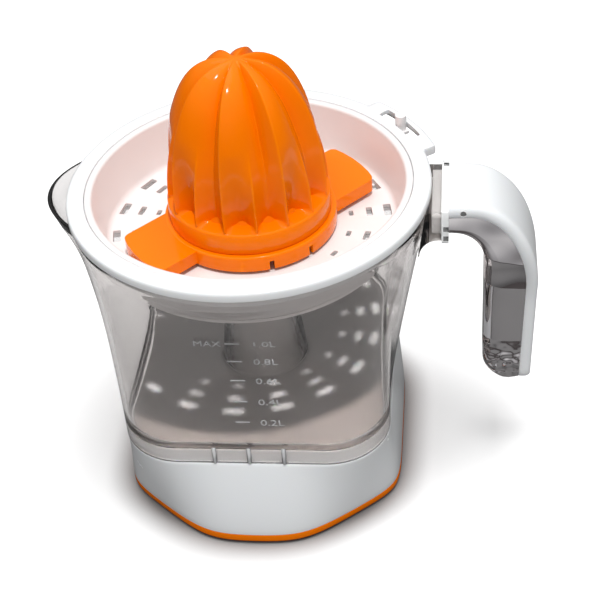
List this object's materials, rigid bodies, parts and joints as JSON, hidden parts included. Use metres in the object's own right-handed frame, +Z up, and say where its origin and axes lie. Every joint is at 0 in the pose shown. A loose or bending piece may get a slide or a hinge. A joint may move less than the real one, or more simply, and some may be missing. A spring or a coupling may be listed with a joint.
{
  "type": "citrus press juicer",
  "caption": "Electric citrus press with a motor base, clear measuring jug with side handle, slotted strainer and ribbed orange pressing cone turned by pushing down.",
  "frame": {"origin": "on the table under the middle of the base, on the drive shaft's axis", "axes": "+Z up along the drive shaft, +X towards the jug's handle, -X towards the spout, -Y the front, with the volume marks"},
  "size_m": [0.225, 0.166, 0.2164],
  "materials": {
    "white_plastic": "satin",
    "orange_plastic": "gloss",
    "clear_plastic": "gloss",
    "smoke_plastic": "gloss",
    "basket_plastic": "satin",
    "gear_plastic": "matt",
    "dark_plastic": "matt",
    "grey_plastic": "matt",
    "rubber": "matt",
    "steel": "brushed",
    "copper": "enamelled",
    "bronze": "sintered"
  },
  "bodies": {
    "base": {"base_shell": "white_plastic", "base_trim": "orange_plastic", "base_plate": "grey_plastic", "foot_ring": "rubber", "plate_screws": "steel", "motor_can": "steel", "motor_coil": "copper", "motor_screws": "steel", "gear_deck": "steel", "deck_screws": "steel", "gear_axle": "steel", "gear_bridge": "grey_plastic", "bridge_screws": "steel", "shaft_bush": "bronze", "shaft_seal": "rubber", "switch_body": "dark_plastic", "cord_gland": "dark_plastic", "return_spring": "steel"},
    "rotor": {"rotor": "steel", "motor_pinion": "gear_plastic"},
    "cluster": {"cluster_gear": "gear_plastic"},
    "output": {"output_gear": "gear_plastic"},
    "shaft": {"drive_shaft": "steel", "drive_head": "gear_plastic"},
    "plunger": {"switch_plunger": "dark_plastic"},
    "jug": {"jug": "clear_plastic", "handle_grip": "smoke_plastic", "handle_shell": "white_plastic", "handle_pin": "steel"},
    "strainer": {"strainer_ring": "white_plastic", "strainer_basket": "basket_plastic"},
    "selector": {"pulp_selector": "basket_plastic"},
    "reamer": {"small_cone": "orange_plastic"},
    "large_cone": {"large_cone": "orange_plastic"}
  },
  "joints": [
    {"name": "output_spin", "type": "hinge", "parent": "base", "child": "output", "pos_m": [0, 0, 0.033], "axis": [0, 0, 1], "continuous": true},
    {"name": "cluster_spin", "type": "hinge", "parent": "base", "child": "cluster", "pos_m": [0.01493, 0.0203, 0.03], "axis": [0, 0, 1], "continuous": true},
    {"name": "rotor_spin", "type": "hinge", "parent": "base", "child": "rotor", "pos_m": [0, 0.037, 0.015], "axis": [0, 0, 1], "continuous": true},
    {"name": "press", "type": "slide", "parent": "output", "child": "shaft", "axis": [0, 0, 1], "range_m": [-0.0025, 0], "stiffness_N_per_m": 1500, "springref_m": 0.003, "deforming": ["return_spring"]},
    {"name": "switch_travel", "type": "slide", "parent": "base", "child": "plunger", "axis": [0, 0, 1], "range_m": [-0.0025, 0]},
    {"name": "jug_lift", "type": "slide", "parent": "base", "child": "jug", "axis": [0, 0, 1], "range_m": [0, 0.14]},
    {"name": "strainer_lift", "type": "slide", "parent": "jug", "child": "strainer", "axis": [0, 0, 1], "range_m": [0, 0.06]},
    {"name": "pulp_setting", "type": "hinge", "parent": "strainer", "child": "selector", "pos_m": [0, 0, 0.127], "axis": [0, 0, 1], "range_deg": [-7, 7]},
    {"name": "reamer_spin", "type": "hinge", "parent": "strainer", "child": "reamer", "pos_m": [0, 0, 0.135], "axis": [0, 0, 1], "continuous": true},
    {"name": "large_cone_lift", "type": "slide", "parent": "reamer", "child": "large_cone", "axis": [0, 0, 1], "range_m": [0, 0.07]}
  ],
  "couplings": [
    {"joint": "output_spin", "follows": "reamer_spin", "ratio": 1},
    {"joint": "cluster_spin", "follows": "reamer_spin", "ratio": -3},
    {"joint": "rotor_spin", "follows": "reamer_spin", "ratio": 9},
    {"joint": "switch_travel", "follows": "press", "ratio": 1}
  ]
}
